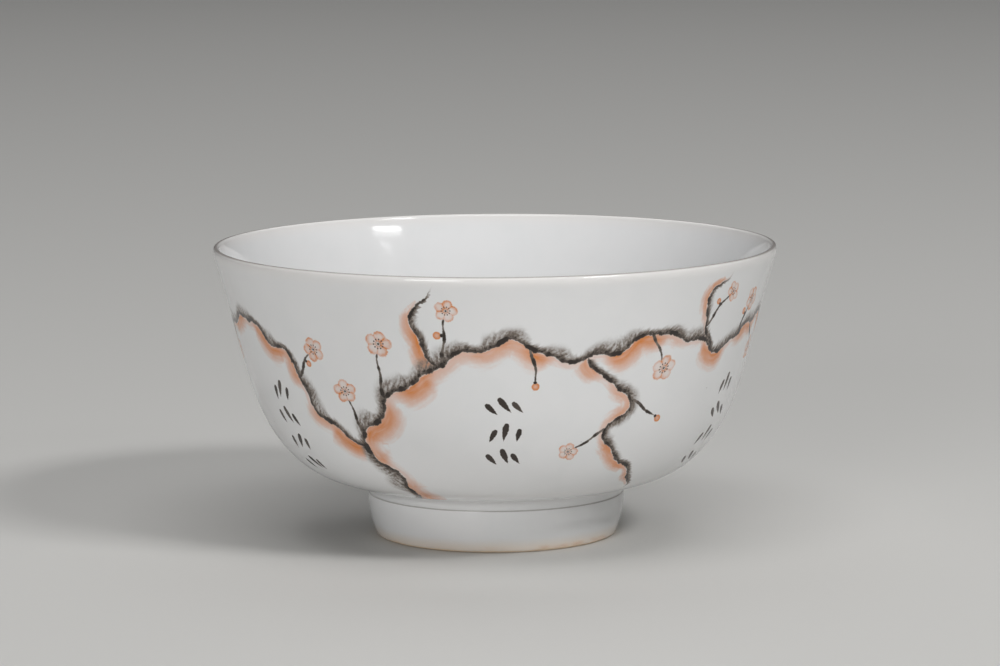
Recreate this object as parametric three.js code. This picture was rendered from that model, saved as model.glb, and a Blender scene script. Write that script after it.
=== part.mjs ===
// A footed porcelain bowl with a gently flared lip, thrown and turned as one piece.
// Millimetres, +Z up. The origin is the centre of the circle that the foot ring stands on.

import * as THREE from "three";

// Driving dimensions
const RIM_RADIUS = 56;
const HEIGHT = 58;
const FOOT_RADIUS = 25.6; // outside of the foot ring, at its top
const FOOT_HEIGHT = 11.2; // from the table to the underside of the body

// Lip: a round bead as thick as the wall below it
const LIP_RADIUS = 0.75;
const LIP_LEAN = 0.325; // outward run for each unit of rise
const LIP_REACH = 9.8; // rise over which the flare makes itself felt

// Belly: where the rounded bottom turns into the rising side
const BELLY_RADIUS = 46.7;
const BELLY_HEIGHT = 25.5;
const BELLY_LEAN = 0.46;
const BELLY_REACH = 7.4;
const BELLY_WALL = 2.2; // wall thickness here

// Underside of the body, almost level where it leaves the foot
const UNDERSIDE_REACH = 9.2;
const UNDERSIDE_RISE = 0.5;

// Foot ring
const COVE_RADIUS = 2.8; // hollow curve between the foot and the body
const FOOT_EDGE_RADIUS = 1; // outer rounding at the table
const FOOT_EDGE_LEAN = THREE.MathUtils.degToRad(20);
const STANDING_OUTER = 23.2; // the flat, unglazed ring that touches the table
const STANDING_INNER = 21.8;
const INNER_EDGE_RADIUS = 0.7;

// Recess inside the foot ring
const RECESS_RADIUS = 20.9;
const RECESS_DEPTH = 8.8;
const RECESS_FILLET = 1.6;
const RECESS_CROWN = 0.3; // the base hangs a little lower in its middle

// Inside of the bowl
const FLOOR_HEIGHT = 12.6;
const FLOOR_REACH = 28; // how far the nearly flat floor spreads from the axis
const INNER_BELLY_REACH = 11;

const TURNS = 72; // facets round the axis

const at = (radius, height) => new THREE.Vector2(radius, height);
const line = (from, to) => new THREE.LineCurve(from, to);
const bezier = (...points) => new THREE.CubicBezierCurve(...points);

// An arc about a centre, from one angle to another, counterclockwise unless stated.
function arc(centre, radius, from, to, clockwise = false) {
  return new THREE.EllipseCurve(centre.x, centre.y, radius, radius, from, to, clockwise);
}

// The recess and the inner face of the foot ring, from the axis to the standing ring.
function recessStretches() {
  const crown = RECESS_DEPTH - RECESS_CROWN;
  const fillet = at(RECESS_RADIUS - RECESS_FILLET, RECESS_DEPTH - RECESS_FILLET);
  const edge = at(STANDING_INNER, INNER_EDGE_RADIUS);
  const base = [at(0, crown), at(fillet.x / 2, crown), at(fillet.x, RECESS_DEPTH)];
  return [
    [new THREE.QuadraticBezierCurve(...base), 3],
    [arc(fillet, RECESS_FILLET, Math.PI / 2, 0, true), 3],
    [line(at(RECESS_RADIUS, fillet.y), at(edge.x - INNER_EDGE_RADIUS, edge.y)), 1],
    [arc(edge, INNER_EDGE_RADIUS, Math.PI, 1.5 * Math.PI), 2],
  ];
}

// The standing ring, the outer face of the foot and the cove below the body.
function footStretches() {
  const edge = at(STANDING_OUTER, FOOT_EDGE_RADIUS);
  const rounding = arc(edge, FOOT_EDGE_RADIUS, -Math.PI / 2, -FOOT_EDGE_LEAN);
  const top = at(FOOT_RADIUS, FOOT_HEIGHT - COVE_RADIUS);
  const start = rounding.getPoint(1);
  const rise = (top.y - start.y) / 4;
  const leaning = at(start.x + rise * Math.tan(FOOT_EDGE_LEAN), start.y + rise);
  const upright = at(top.x, top.y - 2 * rise);
  return [
    [line(at(STANDING_INNER, 0), at(STANDING_OUTER, 0)), 1],
    [rounding, 3],
    [bezier(start, leaning, upright, top), 4],
    [arc(at(top.x + COVE_RADIUS, top.y), COVE_RADIUS, Math.PI, Math.PI / 2, true), 4],
  ];
}

// The outside of the body, over the lip and down the inside to the axis.
function bodyStretches() {
  const lean = Math.atan(LIP_LEAN);
  const lip = arc(at(RIM_RADIUS - LIP_RADIUS, HEIGHT - LIP_RADIUS), LIP_RADIUS, -lean, Math.PI - lean);
  const underside = at(FOOT_RADIUS + COVE_RADIUS, FOOT_HEIGHT);
  const level = at(underside.x + UNDERSIDE_REACH, underside.y + UNDERSIDE_RISE);
  const belly = at(BELLY_RADIUS, BELLY_HEIGHT);
  const slant = Math.hypot(BELLY_LEAN, 1);
  const inner = at(belly.x - BELLY_WALL / slant, belly.y + (BELLY_WALL * BELLY_LEAN) / slant);
  const floor = [at(FLOOR_REACH, FLOOR_HEIGHT), at(0, FLOOR_HEIGHT)];

  const along = (point, lean, rise) => at(point.x + lean * rise, point.y + rise);
  const outside = lip.getPoint(0);
  const inside = lip.getPoint(1);
  const flareOut = along(outside, LIP_LEAN, -LIP_REACH);
  const flareIn = along(inside, LIP_LEAN, -LIP_REACH);
  const [bellyBelow, bellyAbove] = [-BELLY_REACH, BELLY_REACH].map((r) => along(belly, BELLY_LEAN, r));
  const innerAbove = along(inner, BELLY_LEAN, BELLY_REACH);
  const innerBelow = along(inner, BELLY_LEAN, -INNER_BELLY_REACH);
  return [
    [bezier(underside, level, bellyBelow, belly), 9],
    [bezier(belly, bellyAbove, flareOut, outside), 7],
    [lip, 6],
    [bezier(inside, flareIn, innerAbove, inner), 7],
    [bezier(inner, innerBelow, ...floor), 10],
  ];
}

// All stretches end to end: out along the base, up the outside, over the lip and down the inside.
function bowlProfile() {
  const stretches = [...recessStretches(), ...footStretches(), ...bodyStretches()];
  return stretches.flatMap(([curve, steps], i) => curve.getPoints(steps).slice(i === 0 ? 0 : 1));
}

const glaze = new THREE.MeshStandardMaterial({ color: 0xe4e4e6, roughness: 0.15, metalness: 0 });

const bowl = new THREE.Mesh(new THREE.LatheGeometry(bowlProfile(), TURNS), glaze);
bowl.name = "bowl";
bowl.rotation.x = Math.PI / 2; // the lathe turns about Y, and the bowl stands along Z

const part = new THREE.Group();
part.add(bowl);

export default part;
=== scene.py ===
"""Looks of a footed porcelain bowl, painted with a plum bough in ink brown and iron red."""

import logging
import math
from dataclasses import dataclass
from enum import Enum
from typing import Any

import bmesh
import bpy
import numpy as np
from mathutils import Matrix, Quaternion, Vector
from mathutils.kdtree import KDTree


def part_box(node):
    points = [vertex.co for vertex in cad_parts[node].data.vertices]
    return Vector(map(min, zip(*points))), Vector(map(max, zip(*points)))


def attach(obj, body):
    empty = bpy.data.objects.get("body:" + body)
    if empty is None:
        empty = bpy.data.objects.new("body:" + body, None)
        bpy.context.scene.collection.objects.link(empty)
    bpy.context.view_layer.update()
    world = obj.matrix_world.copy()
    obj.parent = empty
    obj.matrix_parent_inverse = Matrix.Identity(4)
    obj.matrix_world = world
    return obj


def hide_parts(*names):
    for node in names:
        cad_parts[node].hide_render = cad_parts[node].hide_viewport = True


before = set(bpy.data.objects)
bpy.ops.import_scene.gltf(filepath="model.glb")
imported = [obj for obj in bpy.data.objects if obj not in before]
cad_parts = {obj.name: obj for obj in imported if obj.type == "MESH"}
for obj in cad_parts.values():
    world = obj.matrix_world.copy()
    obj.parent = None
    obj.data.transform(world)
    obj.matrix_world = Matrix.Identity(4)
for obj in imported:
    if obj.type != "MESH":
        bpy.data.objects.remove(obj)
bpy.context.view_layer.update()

MM = 0.001
IMAGE_WIDTH = 1000
IMAGE_HEIGHT = 666
SENSOR_WIDTH = 36.0

Colour = tuple[float, float, float, float]
Place = tuple[float, float]
Span = tuple[float, float]

log = logging.getLogger("porcelain_bowl")


def screen_colour(red: float, green: float, blue: float) -> Colour:
    """Turn a colour as seen on a screen into the linear one that shaders take.

    Args:
        red: red, from 0 to 255.
        green: green, from 0 to 255.
        blue: blue, from 0 to 255.

    Returns:
        The linear colour, with full alpha.
    """
    shares = [value / 255 for value in (red, green, blue)]
    linear = [s / 12.92 if s <= 0.04045 else ((s + 0.055) / 1.055) ** 2.4 for s in shares]
    return (*linear, 1.0)


# Node trees


class Noise(Enum):
    """What a noise spreads over, by the node's own name for it."""

    LINE = "1D"
    PLANE = "2D"
    SPACE = "3D"


class Laying(Enum):
    """How one colour is laid over another, by the node's own name for it."""

    COVER = "MIX"
    STAIN = "MULTIPLY"


class Wire:
    """A socket of a node tree, on which arithmetic adds Math nodes."""

    def __init__(self, sheet: "NodeSheet", socket: bpy.types.NodeSocket) -> None:
        """Keep the socket and the sheet that it lies on."""
        self.sheet = sheet
        self.socket = socket

    def port(self, name: str) -> "Wire":
        """Give another output of the same node."""
        return Wire(self.sheet, self.socket.node.outputs[name])

    def __add__(self, other: "Wire | float") -> "Wire":
        """Sum."""
        return self.sheet.math("ADD", self, other)

    def __radd__(self, other: float) -> "Wire":
        """Sum with a number on the left."""
        return self.sheet.math("ADD", other, self)

    def __sub__(self, other: "Wire | float") -> "Wire":
        """Difference."""
        return self.sheet.math("SUBTRACT", self, other)

    def __rsub__(self, other: float) -> "Wire":
        """Difference from a number on the left."""
        return self.sheet.math("SUBTRACT", other, self)

    def __mul__(self, other: "Wire | float") -> "Wire":
        """Product."""
        return self.sheet.math("MULTIPLY", self, other)

    def __rmul__(self, other: float) -> "Wire":
        """Product with a number on the left."""
        return self.sheet.math("MULTIPLY", other, self)

    def __truediv__(self, other: "Wire | float") -> "Wire":
        """Quotient."""
        return self.sheet.math("DIVIDE", self, other)

    def __rtruediv__(self, other: float) -> "Wire":
        """Quotient of a number on the left."""
        return self.sheet.math("DIVIDE", other, self)

    def __neg__(self) -> "Wire":
        """Opposite."""
        return self.sheet.math("MULTIPLY", self, -1.0)

    def __abs__(self) -> "Wire":
        """Size without its sign."""
        return self.sheet.math("ABSOLUTE", self)

    def floor(self) -> "Wire":
        """Next whole number below."""
        return self.sheet.math("FLOOR", self)

    def most(self, other: "Wire | float") -> "Wire":
        """Larger of two."""
        return self.sheet.math("MAXIMUM", self, other)

    def ramp(self, low: "Wire | float", high: "Wire | float") -> "Wire":
        """Rise smoothly from 0 to 1.

        Args:
            low: where the rise starts.
            high: where it ends.

        Returns:
            The smooth step.
        """
        stops = {"Value": self, "From Min": low, "From Max": high}
        return self.sheet.add("ShaderNodeMapRange", {"interpolation_type": "SMOOTHSTEP"}, stops)

    def fall(self, low: "Wire | float", high: "Wire | float") -> "Wire":
        """Fall smoothly from 1 to 0, as ramp rises."""
        return 1 - self.ramp(low, high)

    def scaled(self, low: float, high: float) -> "Wire":
        """Stretch 0 to 1 over another range."""
        return self * (high - low) + low

    def swing(self, size: "Wire | float") -> "Wire":
        """Centre a noise on 0 and stretch it to a size."""
        return (self - 0.5) * size


class NodeSheet:
    """A node tree, shader or geometry, that nodes are added to."""

    def __init__(self, tree: bpy.types.NodeTree) -> None:
        """Keep the tree."""
        self.tree = tree

    @staticmethod
    def _pick(sockets: Any, key: str | int) -> bpy.types.NodeSocket:
        """Find a socket.

        Args:
            sockets: a node's inputs or outputs.
            key: the socket's number, or its name among those in use.

        Returns:
            The socket.
        """
        if isinstance(key, int):
            return sockets[key]
        return next(s for s in sockets if s.enabled and s.name == key)

    def node(
        self,
        kind: str,
        settings: dict[str, Any] | None = None,
        inputs: dict[str | int, Any] | None = None,
    ) -> bpy.types.Node:
        """Add one node.

        Args:
            kind: the node's type.
            settings: its own settings, which are set first.
            inputs: values or wires for its input sockets, by name or number.

        Returns:
            The node.
        """
        node = self.tree.nodes.new(kind)
        for name, value in (settings or {}).items():
            setattr(node, name, value)
        for key, value in (inputs or {}).items():
            socket = self._pick(node.inputs, key)
            if isinstance(value, Wire):
                self.tree.links.new(value.socket, socket)
            else:
                socket.default_value = value
        return node

    def add(
        self,
        kind: str,
        settings: dict[str, Any] | None = None,
        inputs: dict[str | int, Any] | None = None,
        output: str | int = 0,
    ) -> Wire:
        """Add one node, as node does, and give the wire from one of its outputs."""
        return Wire(self, self._pick(self.node(kind, settings, inputs).outputs, output))

    def math(self, operation: str, *values: Wire | float) -> Wire:
        """Add a Math node on these values."""
        return self.add("ShaderNodeMath", {"operation": operation}, dict(enumerate(values)))

    def parts(self, vector: Wire) -> tuple[Wire, Wire, Wire]:
        """Part a vector into its three numbers."""
        x = self.add("ShaderNodeSeparateXYZ", inputs={0: vector})
        return x, x.port("Y"), x.port("Z")

    def vector(self, x: Wire | float, y: Wire | float, z: Wire | float = 0.0) -> Wire:
        """Join three numbers to a vector."""
        return self.add("ShaderNodeCombineXYZ", inputs={0: x, 1: y, 2: z})

    def attribute(self, name: str) -> tuple[Wire, Wire, Wire]:
        """Read the three numbers of a mesh attribute."""
        return self.parts(self.add("ShaderNodeAttribute", {"attribute_name": name}, output="Vector"))

    def length(self, x: Wire, y: Wire) -> Wire:
        """Length of the vector with these two parts."""
        return self.math("SQRT", x * x + y * y)

    def noise(
        self, place: Wire, scale: float, detail: float = 2.0, over: Noise = Noise.SPACE
    ) -> Wire:
        """Add a noise around a half.

        Args:
            place: the vector it reads, or the number for a noise along a line.
            scale: how many lumps go in one unit.
            detail: octaves of finer lumps.
            over: what it spreads over.

        Returns:
            The noise, from 0 to 1.
        """
        port = "W" if over is Noise.LINE else "Vector"
        inputs = {port: place, "Scale": scale, "Detail": detail}
        return self.add("ShaderNodeTexNoise", {"noise_dimensions": over.value}, inputs)

    def blend(
        self, share: Wire | float, base: Any, top: Any, laying: Laying = Laying.COVER
    ) -> Wire:
        """Lay one colour over another.

        Args:
            share: how much of the top colour shows.
            base: colour below, or its wire.
            top: colour above, or its wire.
            laying: how it is laid.

        Returns:
            The mixed colour.
        """
        settings = {"data_type": "RGBA", "blend_type": laying.value}
        return self.add("ShaderNodeMix", settings, {"Factor": share, "A": base, "B": top}, "Result")


# The body


def bezier(points: list[Place], steps: int) -> np.ndarray:
    """Points along a Bezier curve of any degree.

    Args:
        points: its control points.
        steps: stretches that it is cut into.

    Returns:
        Radius and height of each point.
    """
    share = np.linspace(0, 1, steps + 1)[:, None]
    degree = len(points) - 1
    weights = [
        math.comb(degree, i) * share**i * (1 - share) ** (degree - i) for i in range(degree + 1)
    ]
    return sum(weight * np.array(point) for weight, point in zip(weights, points))


def arc(centre: Place, radius: float, start: float, end: float, steps: int) -> np.ndarray:
    """Points along an arc.

    Args:
        centre: its middle.
        radius: its radius.
        start: angle that it starts at, in radians.
        end: angle that it ends at.
        steps: stretches that it is cut into.

    Returns:
        Radius and height of each point.
    """
    angles = np.linspace(start, end, steps + 1)
    return np.column_stack([centre[0] + radius * np.cos(angles), centre[1] + radius * np.sin(angles)])


@dataclass
class Outline:
    """The turned outline as three rows: radius, height and climb, all in metres.

    Climb is the way along the outside from the top of the foot's cove: negative down the foot
    and under it, positive up the body, and still rising over the lip and down the inside.
    """

    radius: np.ndarray
    height: np.ndarray
    climb: np.ndarray

    def place(self, turn: np.ndarray, climb: np.ndarray) -> np.ndarray:
        """Points on the surface.

        Args:
            turn: angles in radians from the front, growing to the viewer's right.
            climb: ways up the outside, in metres.

        Returns:
            One row of x, y and z for each point.
        """
        radius = np.interp(climb, self.climb, self.radius)
        height = np.interp(climb, self.climb, self.height)
        return np.column_stack([radius * np.sin(turn), -radius * np.cos(turn), height])

    def normal(self, turn: np.ndarray, climb: np.ndarray, reach: float = 0.5 * MM) -> np.ndarray:
        """Outward directions at points on the surface.

        Args:
            turn: angles, as place takes them.
            climb: ways up the outside, as place takes them.
            reach: how far up and down the slope is read.

        Returns:
            One row of x, y and z for each point.
        """
        up = self.place(turn, climb + reach) - self.place(turn, climb - reach)
        across = np.column_stack([np.cos(turn), np.sin(turn), np.zeros_like(turn)])
        normal = np.cross(across, up)
        return normal / np.linalg.norm(normal, axis=1)[:, None]

    def climb_at(self, height: float) -> float:
        """Find how far up the outside a height lies.

        Args:
            height: the height.

        Returns:
            The climb there.
        """
        crest = int(np.argmax(self.height))
        foot = int(np.flatnonzero(self.height[:crest] <= self.height.min())[-1])
        outside = slice(foot, crest + 1)
        return float(np.interp(height, self.height[outside], self.climb[outside]))

    def spot(self, point: np.ndarray) -> Place:
        """Turn in radians and climb in metres of a point on the outside."""
        return math.atan2(point[0], -point[1]), self.climb_at(point[2])

    def axes(
        self, turn: float, climb: float, reach: float = 0.5 * MM
    ) -> tuple[np.ndarray, np.ndarray]:
        """Directions on the surface at one place.

        Args:
            turn: its angle in radians.
            climb: its way up the outside.
            reach: how far up and down the slope is read.

        Returns:
            The directions to the viewer's right and up the surface.
        """
        low, high = self.place(np.full(2, turn), np.array([climb - reach, climb + reach]))
        up = (high - low) / np.linalg.norm(high - low)
        return np.array([math.cos(turn), math.sin(turn), 0.0]), up


@dataclass
class PorcelainBowl:
    """The thrown and turned body: foot ring, wall and lip in one. Sizes in metres."""

    rim_radius: float
    height: float
    foot_radius: float = 25.6 * MM
    foot_height: float = 11.2 * MM
    lip_radius: float = 0.75 * MM
    lip_roll: float = 2.2 * MM
    lip_overhang: float = 1.1 * MM
    lip_lean: float = 0.325
    lip_reach: float = 9.8 * MM
    belly_radius: float = 46.7 * MM
    belly_height: float = 25.5 * MM
    belly_lean: float = 0.46
    belly_reach: float = 7.4 * MM
    belly_wall: float = 2.2 * MM
    underside_reach: float = 9.2 * MM
    underside_rise: float = 0.5 * MM
    cove_radius: float = 2.8 * MM
    crease_width: float = 0.3 * MM
    crease_depth: float = 0.22 * MM
    crease_edge: float = 0.08 * MM
    foot_edge_radius: float = 1.0 * MM
    foot_edge_lean: float = math.radians(20)
    standing_outer: float = 23.2 * MM
    standing_inner: float = 21.8 * MM
    inner_edge_radius: float = 0.7 * MM
    recess_radius: float = 20.9 * MM
    recess_depth: float = 8.8 * MM
    recess_fillet: float = 1.6 * MM
    recess_crown: float = 0.3 * MM
    floor_height: float = 12.6 * MM
    floor_reach: float = 28.0 * MM
    inner_belly_reach: float = 11.0 * MM
    turns: int = 528
    weld: float = 0.001 * MM
    waviness: float = 0.07 * MM
    wave_size: float = 16.0 * MM
    wave_heights: Span = (1.0 * MM, 12.0 * MM)
    seed: int = 7

    @classmethod
    def from_frame(cls) -> "PorcelainBowl":
        """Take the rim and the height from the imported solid."""
        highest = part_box("bowl")[1]
        return cls(rim_radius=highest.x, height=highest.z)

    @property
    def crease_height(self) -> float:
        """Height of the crease between foot and body."""
        return self.foot_height - self.cove_radius + self.crease_width / 2

    def _recess(self) -> list[np.ndarray]:
        """Draw the base and the inner face of the foot ring.

        Returns:
            Stretches of the outline, from the axis to the standing ring.
        """
        crown = self.recess_depth - self.recess_crown
        fillet = (self.recess_radius - self.recess_fillet, self.recess_depth - self.recess_fillet)
        edge = (self.standing_inner, self.inner_edge_radius)
        base = [(0, crown), (fillet[0] / 2, crown), (fillet[0], self.recess_depth)]
        wall = [(self.recess_radius, fillet[1]), (edge[0] - edge[1], edge[1])]
        return [
            bezier(base, steps=6),
            arc(fillet, self.recess_fillet, math.pi / 2, 0, steps=4),
            bezier(wall, steps=3),
            arc(edge, self.inner_edge_radius, math.pi, 1.5 * math.pi, steps=3),
        ]

    def _foot(self) -> list[np.ndarray]:
        """Draw the standing ring, the outer face of the foot, the crease and the cove.

        Returns:
            Stretches of the outline, from the standing ring to the underside of the body.
        """
        edge = (self.standing_outer, self.foot_edge_radius)
        rounding = arc(edge, self.foot_edge_radius, -math.pi / 2, -self.foot_edge_lean, steps=5)
        start = rounding[-1]
        top = (self.foot_radius, self.foot_height - self.cove_radius)
        rise = (top[1] - start[1]) / 4
        leaning = (start[0] + rise * math.tan(self.foot_edge_lean), start[1] + rise)
        upright = (top[0], top[1] - 2 * rise)
        below = (top[0], top[1] - self.crease_edge)
        crease = (top[0] - self.crease_depth, self.crease_height)
        centre = (top[0] + self.cove_radius, top[1])
        lowest = math.pi - math.asin(self.crease_width / self.cove_radius)
        cove = arc(centre, self.cove_radius, lowest, math.pi / 2, steps=10)
        return [
            bezier([(self.standing_inner, 0), (self.standing_outer, 0)], steps=2),
            rounding,
            bezier([start, leaning, upright, below], steps=12),
            np.array([below, top, crease, cove[0]]),
            cove,
        ]

    def _wall(self) -> list[np.ndarray]:
        """Draw the outside of the body, the lip and the inside.

        Returns:
            Stretches of the outline, from the foot's cove to the axis.
        """
        crest = (self.rim_radius - self.lip_radius, self.height)
        corner = (crest[0] + self.lip_overhang, self.height)
        outside = (corner[0] - self.lip_roll * self.lip_lean, corner[1] - self.lip_roll)
        lip_end = math.pi - math.atan(self.lip_lean)
        bead = (crest[0], crest[1] - self.lip_radius)
        lip = arc(bead, self.lip_radius, math.pi / 2, lip_end, steps=6)
        underside = (self.foot_radius + self.cove_radius, self.foot_height)
        level = (underside[0] + self.underside_reach, underside[1] + self.underside_rise)
        belly = (self.belly_radius, self.belly_height)
        slant = math.hypot(self.belly_lean, 1)
        inner = (
            belly[0] - self.belly_wall / slant,
            belly[1] + self.belly_wall * self.belly_lean / slant,
        )

        def along(point: Place, slope: float, rise: float) -> Place:
            """Step from a point up a slope."""
            return (point[0] + slope * rise, point[1] + rise)

        inside = tuple(lip[-1])
        below = along(belly, self.belly_lean, -self.belly_reach)
        above = along(belly, self.belly_lean, self.belly_reach)
        flare_out = along(outside, self.lip_lean, -self.lip_reach)
        flare_in = along(inside, self.lip_lean, -self.lip_reach)
        inner_above = along(inner, self.belly_lean, self.belly_reach)
        inner_below = along(inner, self.belly_lean, -self.inner_belly_reach)
        floor = [(self.floor_reach, self.floor_height), (0, self.floor_height)]
        return [
            bezier([underside, level, below, belly], steps=34),
            bezier([belly, above, flare_out, outside], steps=52),
            bezier([outside, corner, crest], steps=9),
            lip,
            bezier([inside, flare_in, inner_above, inner], steps=16),
            bezier([inner, inner_below, *floor], steps=18),
        ]

    def outline(self) -> Outline:
        """Lay all stretches end to end.

        Returns:
            The outline, out along the base, up the outside and down the inside.
        """
        foot = self._recess() + self._foot()
        stretches = foot + self._wall()
        points = np.vstack([stretches[0]] + [stretch[1:] for stretch in stretches[1:]])
        steps = np.hypot(*np.diff(points, axis=0).T)
        run = np.concatenate([[0], np.cumsum(steps)])
        cove_top = sum(len(stretch) - 1 for stretch in foot)
        return Outline(points[:, 0], points[:, 1], run - run[cove_top])

    @staticmethod
    def _turned(sheet: NodeSheet, drawn: Wire) -> Wire:
        """Turn the drawn outline about the axis.

        Args:
            sheet: the tree's nodes.
            drawn: the outline, with the tree's other inputs beside it.

        Returns:
            The body, open along its seam, with the climb of each point.
        """
        turns = drawn.port("Turns")
        rows = sheet.add("GeometryNodeAttributeDomainSize", inputs={0: drawn}, output="Point Count")
        index = sheet.add("GeometryNodeInputIndex")
        column = (index / rows).floor()
        row = index - column * rows
        position = sheet.add("GeometryNodeInputPosition")
        climb = sheet.add(
            "GeometryNodeInputNamedAttribute", {"data_type": "FLOAT"}, {"Name": "climb"}
        )
        point, climbed = (
            sheet.add(
                "GeometryNodeSampleIndex",
                {"data_type": kind},
                {"Geometry": drawn, "Value": value, "Index": row},
            )
            for kind, value in (("FLOAT_VECTOR", position), ("FLOAT", climb))
        )
        radius, _, height = sheet.parts(point)
        angle = column / turns * math.tau
        x, y = radius * sheet.math("SINE", angle), -(radius * sheet.math("COSINE", angle))
        grid = sheet.add("GeometryNodeMeshGrid", inputs={"Vertices X": turns + 1, "Vertices Y": rows})
        turned = {"Geometry": grid, "Position": sheet.vector(x, y, height)}
        body = sheet.add("GeometryNodeSetPosition", inputs=turned)
        named = {"Geometry": body, "Name": "climb", "Value": climbed}
        return sheet.add("GeometryNodeStoreNamedAttribute", {"data_type": "FLOAT"}, named)

    def _waved(self, sheet: NodeSheet, drawn: Wire, body: Wire) -> Wire:
        """Make the wall a little uneven, but not where it stands.

        Args:
            sheet: the tree's nodes.
            drawn: the outline, with the tree's other inputs beside it.
            body: the closed body.

        Returns:
            The uneven body.
        """
        lumps = sheet.add(
            "ShaderNodeTexNoise",
            {"noise_dimensions": "4D"},
            {"W": drawn.port("Seed"), "Scale": 1 / drawn.port("Wave Size"), "Detail": 1.0},
        )
        height = sheet.parts(sheet.add("GeometryNodeInputPosition"))[2]
        depth = lumps.swing(drawn.port("Waviness")) * height.ramp(*self.wave_heights)
        normal = sheet.add("GeometryNodeInputNormal")
        push = sheet.add("ShaderNodeVectorMath", {"operation": "SCALE"}, {0: normal, "Scale": depth})
        return sheet.add("GeometryNodeSetPosition", inputs={"Geometry": body, "Offset": push})

    def _tree(self) -> bpy.types.NodeTree:
        """Build the tree that makes the body from a drawn outline.

        Returns:
            The tree.
        """
        tree = bpy.data.node_groups.new("turned_body", "GeometryNodeTree")
        for name, kind in [
            ("Outline", "NodeSocketGeometry"),
            ("Turns", "NodeSocketInt"),
            ("Waviness", "NodeSocketFloat"),
            ("Wave Size", "NodeSocketFloat"),
            ("Seed", "NodeSocketInt"),
            ("Finish", "NodeSocketMaterial"),
        ]:
            tree.interface.new_socket(name=name, in_out="INPUT", socket_type=kind)
        tree.interface.new_socket(name="Body", in_out="OUTPUT", socket_type="NodeSocketGeometry")
        sheet = NodeSheet(tree)
        drawn = sheet.add("NodeGroupInput", output="Outline")
        body = self._turned(sheet, drawn)
        seam = {"Geometry": body, "Distance": self.weld}
        body = self._waved(sheet, drawn, sheet.add("GeometryNodeMergeByDistance", inputs=seam))
        body = sheet.add("GeometryNodeSetShadeSmooth", inputs={"Geometry": body, "Shade Smooth": True})
        body = sheet.add("GeometryNodeRealizeInstances", inputs={"Geometry": body})
        finish = {"Geometry": body, "Material": drawn.port("Finish")}
        body = sheet.add("GeometryNodeSetMaterial", inputs=finish)
        sheet.node("NodeGroupOutput", inputs={0: body})
        return tree

    def build(self, finish: bpy.types.Material) -> bpy.types.Object:
        """Turn the outline into a plain mesh.

        Args:
            finish: material of the whole body.

        Returns:
            The bowl, with the climb of each vertex kept as an attribute.
        """
        outline = self.outline()
        count = len(outline.radius)
        drawn = bpy.data.meshes.new("outline")
        points = np.column_stack([outline.radius, np.zeros(count), outline.height])
        drawn.from_pydata(points.tolist(), [(i, i + 1) for i in range(count - 1)], [])
        climb = drawn.attributes.new("climb", "FLOAT", "POINT")
        climb.data.foreach_set("value", outline.climb.astype(np.float32))
        carrier = bpy.data.objects.new("outline", drawn)
        bpy.context.scene.collection.objects.link(carrier)
        modifier = carrier.modifiers.new("turning", "NODES")
        tree = self._tree()
        values = {
            "Turns": self.turns,
            "Waviness": self.waviness,
            "Wave Size": self.wave_size,
            "Seed": self.seed,
            "Finish": finish,
        }
        modifier.node_group = tree
        for item in tree.interface.items_tree:
            if item.name in values:
                modifier[item.identifier] = values[item.name]
        depsgraph = bpy.context.evaluated_depsgraph_get()
        mesh = bpy.data.meshes.new_from_object(carrier.evaluated_get(depsgraph), depsgraph=depsgraph)
        mesh.name = "porcelain_bowl"
        bpy.data.objects.remove(carrier)
        bowl = bpy.data.objects.new("porcelain_bowl", mesh)
        bpy.context.scene.collection.objects.link(bowl)
        return bowl


# The painting

# Attributes of the mesh that aren't named by a coat
TWIGS = "twigs"
DAB_COLUMNS = "dab_columns"

# Way from one row of dabs to the next, in millimetres
DAB_PITCH = 5.6

# How far a flower is drawn, in its radii, and the free millimetres around it in its attribute
FLOWER_REACH = 1.12
FLOWER_MARGIN = 1.0


class Coat(Enum):
    """The two coats of boughs. Boughs that meet lie in different coats."""

    FIRST = "boughs_first"
    SECOND = "boughs_second"


class FlowerCoat(Enum):
    """The two coats of blossoms and buds. Flowers that touch lie in different coats."""

    FIRST = "flowers_first"
    SECOND = "flowers_second"


class InkSide(Enum):
    """The side of a bough, looking from its root to its tip, that carries the ink."""

    LEFT = 1.0
    RIGHT = -1.0


class FlowerKind(Enum):
    """What sits on a twig, and its sign in the flowers' attributes."""

    BLOSSOM = 1.0
    BUD = -1.0


@dataclass(frozen=True)
class Bough:
    """A painted bough, by the places that it passes from root to tip.

    Each place is a turn in degrees from the front, to the viewer's right, and a climb up the
    outside in millimetres.
    """

    coat: Coat
    ink: InkSide
    places: tuple[Place, ...]
    girth: float = 1.0
    taper: float = 0.5
    root_fade: float = 0.8
    tip_fade: float = 9.0

    def route(self, spacing: float = 0.01) -> tuple[np.ndarray, np.ndarray]:
        """Smooth curve through the places.

        Args:
            spacing: step along each stretch, as a share of it.

        Returns:
            Turns in radians and climbs in metres.
        """
        knots = np.array(self.places)
        knots = np.vstack([2 * knots[0] - knots[1], knots, 2 * knots[-1] - knots[-2]])
        share = np.arange(0, 1, spacing)[:, None]
        spans = []
        for before, start, end, after in zip(knots, knots[1:], knots[2:], knots[3:]):
            bend = 2 * before - 5 * start + 4 * end - after
            twist = 3 * (start - end) + after - before
            spans.append(start + share / 2 * (end - before + share * (bend + share * twist)))
        route = np.vstack(spans)
        return np.radians(route[:, 0]), route[:, 1] * MM

    def weight(self, along: np.ndarray) -> np.ndarray:
        """Thin the brush towards the tip and lift it at both ends.

        Args:
            along: ways along the bough, up to its tip.

        Returns:
            The share of the full brush at each.
        """
        left = along[-1] - along
        ends = np.clip(along / self.root_fade, 0, 1) * np.clip(left / self.tip_fade, 0, 1)
        return self.girth * (1 - self.taper * along / along[-1]) * ends


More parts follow.
